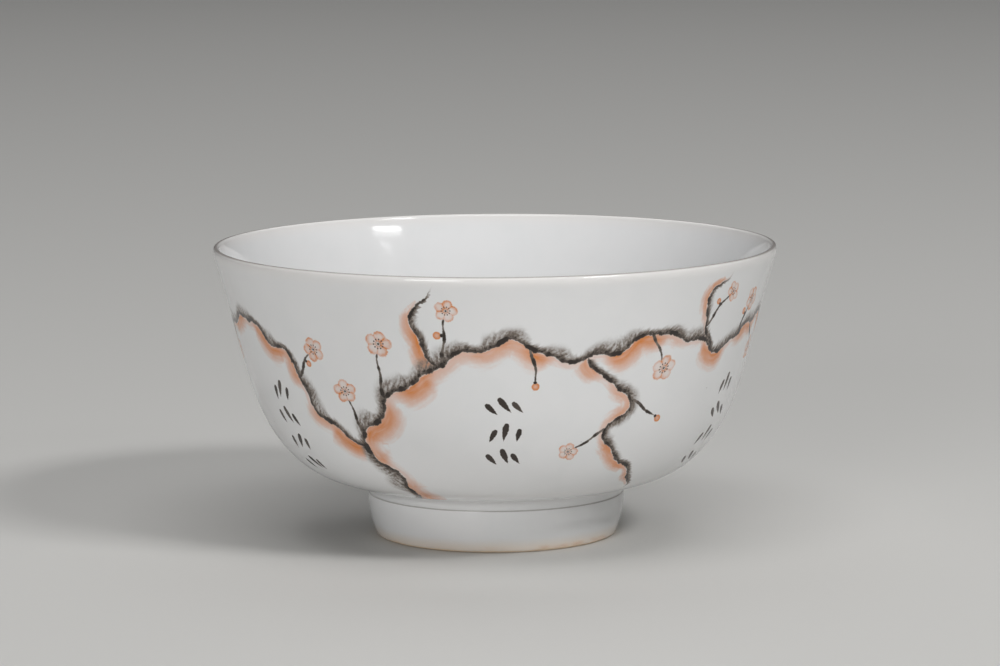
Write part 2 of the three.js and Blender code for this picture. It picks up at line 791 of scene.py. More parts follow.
@dataclass(frozen=True)
class DabColumn:
    """A column of brush dabs, by its turn in degrees, its top's climb and its number of rows."""

    turn: float
    top: float
    rows: int

    @property
    def height(self) -> float:
        """How far it reaches down."""
        return self.rows * DAB_PITCH


@dataclass(frozen=True)
class Flower:
    """A blossom or bud: its middle, its two axes, each as long as it reaches, and its kind."""

    kind: FlowerKind
    coat: FlowerCoat
    middle: np.ndarray
    aside: np.ndarray
    ahead: np.ndarray

    @property
    def radius(self) -> float:
        """Half its width."""
        return float(np.linalg.norm(self.aside))


@dataclass
class BrushLine:
    """A line that the brush follows over the surface, by points a small step apart. Millimetres."""

    points: np.ndarray
    normals: np.ndarray
    along: np.ndarray

    def __post_init__(self) -> None:
        """Work out the directions along and to the left of the line."""
        tangents = np.gradient(self.points, axis=0)
        self.tangents = tangents / np.linalg.norm(tangents, axis=1)[:, None]
        sides = np.cross(self.normals, self.tangents)
        self.sides = sides / np.linalg.norm(sides, axis=1)[:, None]

    @classmethod
    def laid(
        cls, turn: np.ndarray, climb: np.ndarray, outline: Outline, step: float = 0.25
    ) -> "BrushLine":
        """Lay a route on the surface.

        Args:
            turn: its turns in radians.
            climb: its climbs in metres.
            outline: outline of the body.
            step: way from point to point.

        Returns:
            The line.
        """
        points = outline.place(turn, climb) / MM
        normals = outline.normal(turn, climb)
        steps = np.linalg.norm(np.diff(points, axis=0), axis=1)
        run = np.concatenate([[0], np.cumsum(steps)])
        even = np.arange(0, run[-1], step)
        rows = [[np.interp(even, run, axis) for axis in field.T] for field in (points, normals)]
        return cls(np.column_stack(rows[0]), np.column_stack(rows[1]), even)

    def swayed(self, sway: np.ndarray) -> "BrushLine":
        """Shift each point to the left."""
        return BrushLine(self.points + self.sides * sway[:, None], self.normals, self.along)

    def joined(self, others: list["BrushLine"], reach: float, run: float) -> "BrushLine":
        """Move the root onto the nearest of some other lines.

        Args:
            others: the other lines.
            reach: how far off a line may be.
            run: way along this line over which the move fades out.

        Returns:
            The moved line, or the same line if none is near.
        """
        if not others:
            return self
        gaps = np.vstack([line.points for line in others]) - self.points[0]
        gap = gaps[np.linalg.norm(gaps, axis=1).argmin()]
        if np.linalg.norm(gap) > reach:
            return self
        share = np.clip(1 - self.along / run, 0, 1)[:, None]
        return BrushLine(self.points + gap * share, self.normals, self.along)


@dataclass
class Field:
    """For each place on the bowl, what the nearest point of some brush lines says. Millimetres."""

    number: np.ndarray
    distance: np.ndarray
    along: np.ndarray
    across: np.ndarray

    @classmethod
    def around(cls, lines: list[BrushLine], places: np.ndarray, offset: float) -> "Field":
        """Search the lines.

        Args:
            lines: the lines.
            places: points on the bowl.
            offset: what the way along grows by from line to line.

        Returns:
            Number of the nearest point in all lines together, its distance, and the ways along
            the line and across it, to its left.
        """
        points = np.vstack([line.points for line in lines])
        sides = np.vstack([line.sides for line in lines])
        tangents = np.vstack([line.tangents for line in lines])
        starts = [line.along + offset * (number + 1) for number, line in enumerate(lines)]
        tree = KDTree(len(points))
        for number, point in enumerate(points):
            tree.insert(point, number)
        tree.balance()
        number = np.array([tree.find(place)[1] for place in places])
        away = places - points[number]
        along = np.concatenate(starts)[number] + np.einsum("ij,ij->i", away, tangents[number])
        across = np.einsum("ij,ij->i", away, sides[number])
        return cls(number, np.linalg.norm(away, axis=1), along, across)

    def within(self, near: float, far: float) -> np.ndarray:
        """Fall from 1 to 0 between two distances."""
        return np.clip((far - self.distance) / (far - near), 0, 1)


@dataclass
class Growth:
    """The rule by which twigs, blossoms and buds grow from the boughs. Millimetres and degrees."""

    outline: Outline
    spacing: Span = (4.5, 8.0)
    first: float = 6.0
    last: float = 5.0
    length: Span = (7.5, 12.5)
    lean: Span = (32.0, 62.0)
    curl: Span = (-35.0, 35.0)
    twig_sway: float = 0.2
    twig_wave: float = 6.5
    step: float = 0.25
    climbs: Span = (9.0, 53.0)
    blossom_radius: Span = (2.2, 3.0)
    bud_radius: Span = (1.0, 1.35)
    squash: Span = (0.72, 1.0)
    blossom_shift: float = 0.1
    bud_shift: float = 0.2
    blossom_share: float = 0.72
    second_share: float = 0.6
    second_place: float = 0.55
    twig_gap: float = 4.4
    bough_gap: float = 4.2
    own_gap: float = 3.2
    column_gap: float = 4.2
    red_side_back: float = 0.9
    ink_gap: float = 0.2
    flower_gap: float = 0.92
    seed: int = 23

    def __post_init__(self) -> None:
        """Start with bare boughs."""
        self.draw = np.random.default_rng(self.seed)
        self.twigs: list[BrushLine] = []
        self.flowers: list[Flower] = []
        self.keep_clear = np.empty((0, 3))
        self.inked = np.empty((0, 3))

    def _between(self, span: Span) -> float:
        """Draw a number from a span."""
        return span[0] + (span[1] - span[0]) * self.draw.random()

    def _shoot(self, line: BrushLine, number: int, side: float, back: float) -> BrushLine:
        """Bend a twig out of a bough.

        Args:
            line: the bough's line.
            number: its point that the twig leaves at.
            side: 1 for the left of the bough, -1 for its right.
            back: how far before that point the twig starts.

        Returns:
            The twig's line.
        """
        turn, climb = self.outline.spot(line.points[number] * MM)
        right, up = self.outline.axes(turn, climb)
        tangent = line.tangents[number]
        heading = math.atan2(tangent @ up, tangent @ right)
        heading += side * math.radians(self._between(self.lean))
        count = int(self._between(self.length) / self.step)
        headings = heading + math.radians(self._between(self.curl)) * np.linspace(0, 1, count)
        ups = np.cumsum(self.step * np.sin(headings)) - back * math.sin(heading)
        asides = np.cumsum(self.step * np.cos(headings)) - back * math.cos(heading)
        climbs = climb + ups * MM
        radii = np.interp(climbs, self.outline.climb, self.outline.radius)
        twig = BrushLine.laid(turn + asides * MM / radii, climbs, self.outline, self.step)
        return twig.swayed(side * self.twig_sway * np.sin(math.tau * twig.along / self.twig_wave))

    def _flower(self, kind: FlowerKind, twig: BrushLine, number: int, shift: float) -> Flower | None:
        """Set a flower beside a twig, where there is room.

        Args:
            kind: blossom or bud.
            twig: the twig.
            number: its point that the flower sits at.
            shift: how far beside the twig it sits, in its own radii, to the left.

        Returns:
            The flower, or none.
        """
        blossom = kind is FlowerKind.BLOSSOM
        radius = self._between(self.blossom_radius if blossom else self.bud_radius)
        squash = self._between(self.squash)
        middle = twig.points[number] + twig.sides[number] * radius * shift
        aside, ahead = twig.sides[number] * -radius, twig.tangents[number] * radius * squash
        if shift:
            aside, ahead = ahead / squash, aside * squash * -np.sign(shift)
        else:
            middle = middle + ahead * (self.blossom_shift if blossom else self.bud_shift)
        clear = self._free(middle[None], self.keep_clear, radius + self.column_gap)
        clear = clear and self._free(middle[None], self.inked, radius + self.ink_gap)
        if not clear or not self._in_reach(middle[None]):
            return None
        busy = set()
        for other in self.flowers:
            gap = np.linalg.norm(middle - other.middle)
            radii = radius + other.radius
            if gap < self.flower_gap * radii:
                return None
            # Flowers of one coat keep both their margins and a step of the mesh apart
            if gap < FLOWER_REACH * radii + 3 * FLOWER_MARGIN:
                busy.add(other.coat)
        free = [coat for coat in FlowerCoat if coat not in busy]
        return Flower(kind, free[0], middle, aside, ahead) if free else None

    def _in_reach(self, points: np.ndarray) -> bool:
        """Say whether some points lie between the lowest and highest climbs."""
        low, high = self.outline.place(np.zeros(2), np.array(self.climbs) * MM)[:, 2] / MM
        return low < points[:, 2].min() and points[:, 2].max() < high

    @staticmethod
    def _free(points: np.ndarray, others: np.ndarray, gap: float) -> bool:
        """Say whether some points keep away from others.

        Args:
            points: the points.
            others: what they keep away from.
            gap: how far.

        Returns:
            Whether all of them do.
        """
        if not len(others):
            return True
        return np.linalg.norm(points[:, None] - others[None], axis=2).min() > gap

    def grow(
        self, boughs: tuple[Bough, ...], lines: list[BrushLine], keep_clear: np.ndarray
    ) -> None:
        """Let twigs and flowers grow wherever there is room.

        Args:
            boughs: the boughs.
            lines: their lines.
            keep_clear: points that nothing grows over.
        """
        self.keep_clear = keep_clear
        self.inked = np.vstack([line.points for line in lines])
        for bough, line in zip(boughs, lines):
            others = np.vstack([other.points for other in lines if other is not line])
            side, way = 1.0, self.first
            while way < line.along[-1] - self.last:
                number = int(np.searchsorted(line.along, way))
                way += self._between(self.spacing)
                side = -side
                back = 0.0 if side == bough.ink.value else self.red_side_back
                twig = self._shoot(line, min(number, len(line.along) - 1), side, back)
                tip = twig.points[len(twig.points) // 2:]
                grown = [other.points for other in self.twigs]
                free = (
                    self._in_reach(tip)
                    and self._free(tip[-1:], line.points, self.own_gap)
                    and self._free(tip, others, self.bough_gap)
                    and self._free(tip, keep_clear, self.column_gap)
                    and (not grown or self._free(twig.points, np.vstack(grown), self.twig_gap))
                )
                if free and self._dress(twig, len(twig.points) - 1, 0.0):
                    self.twigs.append(twig)
                    if self.draw.random() < self.second_share:
                        number = int(len(twig.points) * self.second_place)
                        self._dress(twig, number, float(self.draw.choice([-1.0, 1.0])))

    def _dress(self, twig: BrushLine, number: int, shift: float) -> bool:
        """Put a blossom, or else a bud, on a twig.

        Args:
            twig: the twig.
            number: its point that the flower sits at.
            shift: how far beside the twig it sits, in its own radii, to the left.

        Returns:
            Whether there was room.
        """
        kinds = [FlowerKind.BLOSSOM, FlowerKind.BUD]
        if self.draw.random() > self.blossom_share:
            kinds.pop(0)
        for kind in kinds:
            flower = self._flower(kind, twig, number, shift)
            if flower:
                self.flowers.append(flower)
                return True
        return False


@dataclass
class Painting:
    """Where the brush went, as attributes of the bowl's mesh, in millimetres.

    A bough's or twig's attribute holds the way along it, the way across it and its weight. For a
    bough, across is positive on its ink side; for a twig, the weight is half its width. A flower's
    holds the ways across and along it in its own radii, and its kind's sign. A column's holds the
    ways across and down it and its weight.
    """

    boughs: tuple[Bough, ...]
    columns: tuple[DabColumn, ...]
    column_width: float = 9.0
    column_margin: float = 5.0
    gnarl: float = 0.5
    gnarl_lengths: tuple[float, ...] = (9.0, 14.0, 23.0)
    join_reach: float = 5.0
    join_run: float = 9.0
    bough_near: float = 5.0
    bough_far: float = 7.0
    twig_near: float = 1.0
    twig_far: float = 2.0
    twig_half: Span = (0.4, 0.14)
    twig_root: float = 0.6
    twig_tip: float = 1.5
    offset: float = 300.0
    lowest: float = -9.0
    highest: float = 58.2
    seed: int = 11

    def _lines(self, outline: Outline) -> list[BrushLine]:
        """Follow all boughs over the surface, each with its own gnarls.

        Args:
            outline: outline of the body.

        Returns:
            One line for each bough.
        """
        draw = np.random.default_rng(self.seed)
        lines = []
        for bough in self.boughs:
            line = BrushLine.laid(*bough.route(), outline)
            waves = [line.along / length + draw.random() for length in self.gnarl_lengths]
            line = line.swayed(self.gnarl * sum(np.sin(math.tau * wave) for wave in waves))
            lines.append(line.joined(lines, self.join_reach, self.join_run))
        return lines

    def _coat(self, coat: Coat, lines: list[BrushLine], places: np.ndarray) -> np.ndarray:
        """Work out one coat's attribute.

        Args:
            coat: the coat.
            lines: lines of all boughs.
            places: points on the bowl.

        Returns:
            Way along, way across and weight for each point.
        """
        chosen = [(bough, line) for bough, line in zip(self.boughs, lines) if bough.coat is coat]
        field = Field.around([line for _, line in chosen], places, self.offset)
        sign = np.concatenate([np.full(len(line.along), bough.ink.value) for bough, line in chosen])
        weight = np.concatenate([bough.weight(line.along) for bough, line in chosen])
        across = field.across * sign[field.number]
        near = field.within(self.bough_near, self.bough_far)
        return np.column_stack([field.along, across, weight[field.number] * near])

    def _twigs(self, twigs: list[BrushLine], places: np.ndarray) -> np.ndarray:
        """Work out the twigs' attribute.

        Args:
            twigs: lines of all twigs.
            places: points on the bowl.

        Returns:
            Way along, way across and half the width for each point.
        """
        field = Field.around(twigs, places, self.offset)
        halves = [np.linspace(*self.twig_half, len(twig.along)) for twig in twigs]
        ends = [
            np.clip(twig.along / self.twig_root, 0, 1)
            * np.clip((twig.along[-1] - twig.along) / self.twig_tip, 0, 1)
            for twig in twigs
        ]
        half = np.concatenate([half * end for half, end in zip(halves, ends)])
        near = field.within(self.twig_near, self.twig_far)
        return np.column_stack([field.along, field.across, half[field.number] * near])

    def _flowers(self, flowers: list[Flower], places: np.ndarray) -> np.ndarray:
        """Work out the attribute of one coat of flowers.

        Args:
            flowers: the coat's flowers.
            places: points on the bowl.

        Returns:
            Ways across and along, and the kind's sign, for each point.
        """
        middles = np.array([flower.middle for flower in flowers])
        radii = np.array([flower.radius for flower in flowers])
        gaps = np.linalg.norm(places[:, None] - middles[None], axis=2) - FLOWER_REACH * radii
        nearest = gaps.argmin(axis=1)
        away = places - middles[nearest]
        marks = np.empty((len(places), 3))
        asides = np.array([flower.aside for flower in flowers])
        aheads = np.array([flower.ahead for flower in flowers])
        for number, axes in enumerate((asides, aheads)):
            axes = axes / np.einsum("ij,ij->i", axes, axes)[:, None]
            marks[:, number] = np.einsum("ij,ij->i", away, axes[nearest])
        signs = np.array([flower.kind.value for flower in flowers])
        marks[:, 2] = signs[nearest] * (gaps.min(axis=1) < FLOWER_MARGIN)
        return marks

    def _columns(self, places: np.ndarray, climb: np.ndarray) -> np.ndarray:
        """Work out the columns' attribute.

        Args:
            places: points on the bowl.
            climb: their climbs.

        Returns:
            Way across, way down and weight for each point.
        """
        marks = np.zeros((len(places), 3))
        turn = np.degrees(np.arctan2(places[:, 0], -places[:, 1]))
        radius = np.hypot(places[:, 0], places[:, 1])
        rows = 0
        for column in self.columns:
            down = column.top - climb
            gap = (turn - column.turn + 180) % 360 - 180
            aside = np.radians(gap) * radius
            over = abs(down - column.height / 2) - column.height / 2
            near = (abs(aside) < self.column_width) & (over < self.column_margin)
            inside = (abs(aside) < self.column_width / 2) & (over < 0)
            marks[near, 0] = aside[near]
            marks[near, 1] = down[near] + rows * DAB_PITCH
            marks[inside, 2] = 1
            rows += column.rows
        return marks

    def _clear(self, outline: Outline) -> np.ndarray:
        """Find what the boughs' growth keeps clear of.

        Args:
            outline: outline of the body.

        Returns:
            Points down the middle of each column.
        """
        points = []
        for column in self.columns:
            climb = (column.top - np.arange(0, column.height)) * MM
            points.append(outline.place(np.full(len(climb), math.radians(column.turn)), climb) / MM)
        return np.vstack(points)

    def mark(self, mesh: bpy.types.Mesh, outline: Outline) -> Growth:
        """Write the attributes.

        Args:
            mesh: the bowl's mesh, with its climb attribute.
            outline: outline of the body.

        Returns:
            What grew on the boughs.
        """
        count = len(mesh.vertices)
        places = np.empty(count * 3, np.float32)
        mesh.vertices.foreach_get("co", places)
        places = places.reshape(-1, 3) / MM
        climb = np.empty(count, np.float32)
        mesh.attributes["climb"].data.foreach_get("value", climb)
        climb /= MM
        painted = np.flatnonzero((climb > self.lowest) & (climb < self.highest))
        places, climb = places[painted], climb[painted]
        lines = self._lines(outline)
        growth = Growth(outline)
        growth.grow(self.boughs, lines, self._clear(outline))
        fields = {coat.value: self._coat(coat, lines, places) for coat in Coat}
        fields[TWIGS] = self._twigs(growth.twigs, places)
        for coat in FlowerCoat:
            flowers = [flower for flower in growth.flowers if flower.coat is coat]
            fields[coat.value] = self._flowers(flowers, places)
        fields[DAB_COLUMNS] = self._columns(places, climb)
        for name, field in fields.items():
            marks = np.zeros((count, 3), np.float32)
            marks[painted] = field
            attribute = mesh.attributes.new(name, "FLOAT_VECTOR", "POINT")
            attribute.data.foreach_set("vector", marks.ravel())
        return growth


# The finish


@dataclass(frozen=True)
class BoughBrush:
    """How a bough is brushed: ink wash on one side of a torn seam, iron red on the other.

    Widths in millimetres, rates in lumps per millimetre, strengths from 0 to 1. A start is where
    a wash begins to fade, as a share of its reach, and a span is the part of a noise that counts.
    """

    shown: Span = (0.02, 0.3)
    seam_wander: float = 1.0
    seam_tear: float = 0.55
    swell_rate: float = 0.11
    swell_span: Span = (0.3, 0.7)
    flush_rate: float = 0.08
    flush_span: Span = (0.3, 0.66)
    flush_shift: float = 40.0
    line_rate: float = 0.35
    line_span: Span = (0.35, 0.7)
    line_shift: float = 90.0
    line_half: Span = (0.04, 0.36)
    line_soft: float = 0.24
    line_strength: Span = (0.72, 1.0)
    streak_lean: float = math.radians(52)
    streak_rates: Span = (0.32, 1.8)
    streak_span: Span = (0.3, 0.7)
    streak_detail: float = 3.0
    ink_begin: Span = (-0.1, 0.15)
    ink_reach: Span = (1.7, 4.2)
    ink_start: float = 0.3
    ink_run: float = 2.0
    ink_wash: float = 0.3
    ink_streaks: float = 0.34
    ink_edge: float = 0.36
    ink_grain: Span = (0.72, 1.18)
    grain_span: Span = (0.3, 0.7)
    edge_width: float = 1.2
    red_begin: Span = (0.1, 0.42)
    red_reach: Span = (2.0, 5.2)
    red_start: float = 0.25
    red_run: float = 2.2
    red_rates: Span = (0.28, 1.1)
    red_strength: Span = (0.4, 1.05)
    red_streaks: Span = (0.55, 1.15)
    twig_shown: Span = (0.03, 0.1)
    twig_tear: float = 0.3
    twig_soft: float = 0.1
    twig_rate: float = 0.45
    twig_span: Span = (0.3, 0.7)
    twig_swell: Span = (0.75, 1.25)
    twig_strength: Span = (0.62, 0.95)

    def _ink(
        self, sheet: NodeSheet, along: Wire, across: Wire, weight: Wire, seam: Wire, fine: Wire
    ) -> Wire:
        """Shade the ink: a streaky wash that fades away from the seam, and the seam's own line.

        Args:
            sheet: the material's nodes.
            along: way along the bough.
            across: way across it.
            weight: share of the full brush.
            seam: way from the torn seam, towards the ink.
            fine: fine noise of the surface.

        Returns:
            How much ink lies there.
        """
        swell = sheet.noise(along, self.swell_rate, 1.0, Noise.LINE).ramp(*self.swell_span)
        thick = sheet.noise(along + self.line_shift, self.line_rate, 1.0, Noise.LINE)
        thick = thick.ramp(*self.line_span)
        cosine, sine = math.cos(self.streak_lean), math.sin(self.streak_lean)
        streaks = sheet.vector(
            (along * cosine + across * sine) * self.streak_rates[0],
            (across * cosine - along * sine) * self.streak_rates[1],
        )
        smoke = sheet.noise(streaks, 1.0, self.streak_detail, Noise.PLANE)
        reach = weight * swell.scaled(*self.ink_reach)
        fade = (seam + smoke.swing(self.ink_run)).fall(reach * self.ink_start, reach)
        edge = seam.fall(0.0, self.edge_width)
        strength = smoke.ramp(*self.streak_span) * self.ink_streaks + self.ink_wash
        strength = strength + edge * self.ink_edge
        strength = strength * fine.ramp(*self.grain_span).scaled(*self.ink_grain)
        wash = seam.ramp(*self.ink_begin) * fade * strength
        half = thick.scaled(*self.line_half) * weight
        line = abs(seam).fall(half, half + self.line_soft) * thick.scaled(*self.line_strength)
        return wash.most(line)

    def _red(
        self, sheet: NodeSheet, along: Wire, across: Wire, weight: Wire, away: Wire
    ) -> Wire:
        """Shade the iron red, in strokes along the bough that fade away from the seam.

        Args:
            sheet: the material's nodes.
            along: way along the bough.
            across: way across it.
            weight: share of the full brush.
            away: way from the torn seam, towards the red.

        Returns:
            How much iron red lies there.
        """
        flush = sheet.noise(along + self.flush_shift, self.flush_rate, 1.0, Noise.LINE)
        flush = flush.ramp(*self.flush_span)
        strokes = sheet.vector(along * self.red_rates[0], across * self.red_rates[1])
        brush = sheet.noise(strokes, 1.0, self.streak_detail, Noise.PLANE)
        reach = weight * flush.scaled(*self.red_reach)
        fade = (away + brush.swing(self.red_run)).fall(reach * self.red_start, reach)
        tone = flush.scaled(*self.red_strength) * brush.scaled(*self.red_streaks)
        return away.ramp(*self.red_begin) * fade * tone

    def bough(self, sheet: NodeSheet, coat: Coat, fine: Wire, cloud: Wire) -> tuple[Wire, Wire]:
        """Shade one coat of boughs.

        Args:
            sheet: the material's nodes.
            coat: the coat.
            fine: fine noise of the surface.
            cloud: coarse noise of the surface.

        Returns:
            How much ink and how much iron red lies there.
        """
        along, across, weight = sheet.attribute(coat.value)
        shown = weight.ramp(*self.shown)
        seam = across + cloud.swing(self.seam_wander) + fine.swing(self.seam_tear)
        ink = self._ink(sheet, along, across, weight, seam, fine)
        red = self._red(sheet, along, across, weight, -seam)
        return ink * shown, red * shown

    def twigs(self, sheet: NodeSheet, fine: Wire) -> Wire:
        """Shade the twigs.

        Args:
            sheet: the material's nodes.
            fine: fine noise of the surface.

        Returns:
            How much ink lies there.
        """
        along, across, half = sheet.attribute(TWIGS)
        load = sheet.noise(along, self.twig_rate, 1.0, Noise.LINE).ramp(*self.twig_span)
        off = abs(across) + fine.swing(self.twig_tear) - half * load.scaled(*self.twig_swell)
        stroke = off.fall(-self.twig_soft, self.twig_soft) * half.ramp(*self.twig_shown)
        return stroke * load.scaled(*self.twig_strength)


@dataclass(frozen=True)
class FlowerBrush:
    """How blossoms and buds are brushed.

    Sizes in their own radii, strengths from 0 to 1. A start is where a part begins to fade, as a
    share of its size, and a span is the part of a noise or sign that counts.
    """

    kind_span: Span = (0.3, 0.6)
    petals: int = 5
    petal_middle: float = 0.56
    petal_radius: float = 0.43
    petal_tear: float = 0.2
    petal_sway: float = 0.16
    petal_wash: Span = (0.6, 1.2)
    wash_span: Span = (0.35, 0.65)
    soft: float = 0.05
    rim_start: float = 0.3
    rim_strength: Span = (0.28, 0.8)
    fold_width: float = 0.07
    fold_strength: float = 0.35
    stamens: int = 10
    stamen_reach: float = 0.36
    dot_radius: float = 0.075
    dot_start: float = 0.4
    dot_strength: float = 0.9
    thread_width: float = 0.03
    thread_start: float = 0.8
    thread_strength: float = 0.5
    heart: float = 0.1
    heart_start: float = 0.5
    bud_middle: float = 0.1
    bud_radius: float = 0.74
    bud_narrow: float = 1.2
    bud_soft: float = 0.1
    bud_strength: Span = (0.6, 1.0)
    calyx_middle: float = -0.72
    calyx_radius: float = 0.36
    calyx_start: float = 0.6

    @staticmethod
    def _sector(sheet: NodeSheet, angle: Wire, count: int) -> Wire:
        """Fold a full turn into a number of like sectors, each around 0."""
        share = sheet.math("FRACT", angle * (count / math.tau) + 0.5)
        return (share - 0.5) * (math.tau / count)

    def _petals(
        self, sheet: NodeSheet, reach: Wire, angle: Wire, tear: Wire, cloud: Wire
    ) -> tuple[Wire, Wire]:
        """Shade a blossom's petals, darker at their rims and folds.

        Args:
            sheet: the material's nodes.
            reach: way from the blossom's middle.
            angle: angle about it.
            tear: how uneven the petals' edges are.
            cloud: coarse noise of the surface.

        Returns:
            Where the petals lie, and how much iron red they show.
        """
        angle = self._sector(sheet, angle, self.petals)
        out = reach * sheet.math("COSINE", angle) - self.petal_middle
        off = sheet.length(out, reach * sheet.math("SINE", angle)) + tear
        off = off + cloud.swing(self.petal_sway)
        petal = off.fall(self.petal_radius - self.soft, self.petal_radius + self.soft)
        rim = off.ramp(self.petal_radius * self.rim_start, self.petal_radius)
        fold = (reach * (math.pi / self.petals - abs(angle))).fall(0.0, self.fold_width)
        red = petal * (rim.scaled(*self.rim_strength) + fold * self.fold_strength)
        return petal, red * cloud.ramp(*self.wash_span).scaled(*self.petal_wash)

    def _stamens(self, sheet: NodeSheet, reach: Wire, angle: Wire) -> Wire:
        """Shade a blossom's heart and its ring of stamens, each a thread with a dot.

        Args:
            sheet: the material's nodes.
            reach: way from the blossom's middle.
            angle: angle about it.

        Returns:
            How much ink lies there.
        """
        beside = reach * self._sector(sheet, angle, self.stamens)
        dot = sheet.length(reach - self.stamen_reach, beside)
        dot = dot.fall(self.dot_start * self.dot_radius, self.dot_radius)
        thread = abs(beside).fall(0.0, self.thread_width)
        thread = thread * reach.fall(self.thread_start * self.stamen_reach, self.stamen_reach)
        heart = reach.fall(self.heart_start * self.heart, self.heart)
        return (dot * self.dot_strength).most(thread * self.thread_strength).most(heart)

    def _bud(
        self, sheet: NodeSheet, aside: Wire, ahead: Wire, tear: Wire
    ) -> tuple[Wire, Wire, Wire]:
        """Shade a bud and the ink calyx that it sits in.

        Args:
            sheet: the material's nodes.
            aside: way across the bud.
            ahead: way along it.
            tear: how uneven its edge is.

        Returns:
            Where it lies, and how much ink and iron red it shows.
        """
        off = sheet.length(aside * self.bud_narrow, ahead - self.bud_middle) + tear
        bud = off.fall(self.bud_radius - self.bud_soft, self.bud_radius + self.bud_soft)
        red = bud * off.ramp(0.0, self.bud_radius).scaled(*self.bud_strength)
        calyx = sheet.length(aside, ahead - self.calyx_middle)
        calyx = calyx.fall(self.calyx_start * self.calyx_radius, self.calyx_radius)
        return bud, calyx, red

    def shade(
        self, sheet: NodeSheet, coat: FlowerCoat, fine: Wire, cloud: Wire
    ) -> tuple[Wire, Wire, Wire]:
        """Shade one coat of flowers.

        Args:
            sheet: the material's nodes.
            coat: the coat.
            fine: fine noise of the surface.
            cloud: coarse noise of the surface.

        Returns:
            How much of what lies below they cover, and how much ink and iron red they show.
        """
        aside, ahead, kind = sheet.attribute(coat.value)
        blossom, bud = kind.ramp(*self.kind_span), (-kind).ramp(*self.kind_span)
        tear = fine.swing(self.petal_tear)
        reach = sheet.length(aside, ahead)
        angle = sheet.math("ARCTAN2", aside, ahead)
        petal, petal_red = self._petals(sheet, reach, angle, tear, cloud)
        stamen = self._stamens(sheet, reach, angle)
        bud_cover, calyx, bud_red = self._bud(sheet, aside, ahead, tear)
        cover = petal * blossom + bud_cover * bud
        return cover, stamen * blossom + calyx * bud, petal_red * blossom + bud_red * bud


@dataclass(frozen=True)
class Dab:
    """One dab of a small brush, in a row of a column. Millimetres."""

    aside: float
    down: float
    half_length: float
    half_width: float


@dataclass(frozen=True)
class DabBrush:
    """How a column of dabs is brushed: row below row, leaning to the right and left in turn."""

    drift: float = 0.4
    sway: float = 26.0
    leans: Span = (-64.0, -116.0)
    bend: float = 0.35
    swell: float = 2.6
    start: float = 0.05
    tear: float = 0.3
    soft: Span = (-0.12, 0.06)
    strength: Span = (0.75, 0.96)
    dabs: tuple[Dab, ...] = (
        Dab(-2.3, 0.4, 1.6, 0.56),
        Dab(0.0, -0.4, 2.0, 0.62),
        Dab(2.3, 0.2, 1.5, 0.54),
    )

    def shade(self, sheet: NodeSheet, fine: Wire) -> Wire:
        """Shade the columns of dabs.

        Args:
            sheet: the material's nodes.
            fine: fine noise of the surface.

        Returns:
            How much ink lies there.
        """
        aside, down, weight = sheet.attribute(DAB_COLUMNS)
        row = (down / DAB_PITCH).floor()
        within = down - (row + 0.5) * DAB_PITCH
        lean = sheet.math("MODULO", row, 2.0).scaled(*self.leans)
        ink = None
        for number, dab in enumerate(self.dabs):
            chance = sheet.add(
                "ShaderNodeTexWhiteNoise",
                {"noise_dimensions": "2D"},
                {"Vector": sheet.vector(row, number + 0.5)},
                "Color",
            )
            one, two, three = sheet.parts(chance)
            x = aside - one.scaled(dab.aside - self.drift, dab.aside + self.drift)
            y = within - two.scaled(dab.down - self.drift / 2, dab.down + self.drift / 2)
            angle = (lean + three.scaled(-self.sway / 2, self.sway / 2)) * math.radians(1)
            cosine, sine = sheet.math("COSINE", angle), sheet.math("SINE", angle)
            way = ((x * cosine - y * sine) / dab.half_length + 1) / 2
            off = abs(x * sine + y * cosine + way * way * self.bend)
            half = sheet.math("SQRT", way.most(0.0)) * (1 - way) * (self.swell * dab.half_width)
            stroke = (off + fine.swing(self.tear) - half).fall(*self.soft)
            stroke = stroke * way.ramp(0.0, self.start) * two.scaled(*self.strength)
            ink = stroke if ink is None else ink.most(stroke)
        return ink * weight


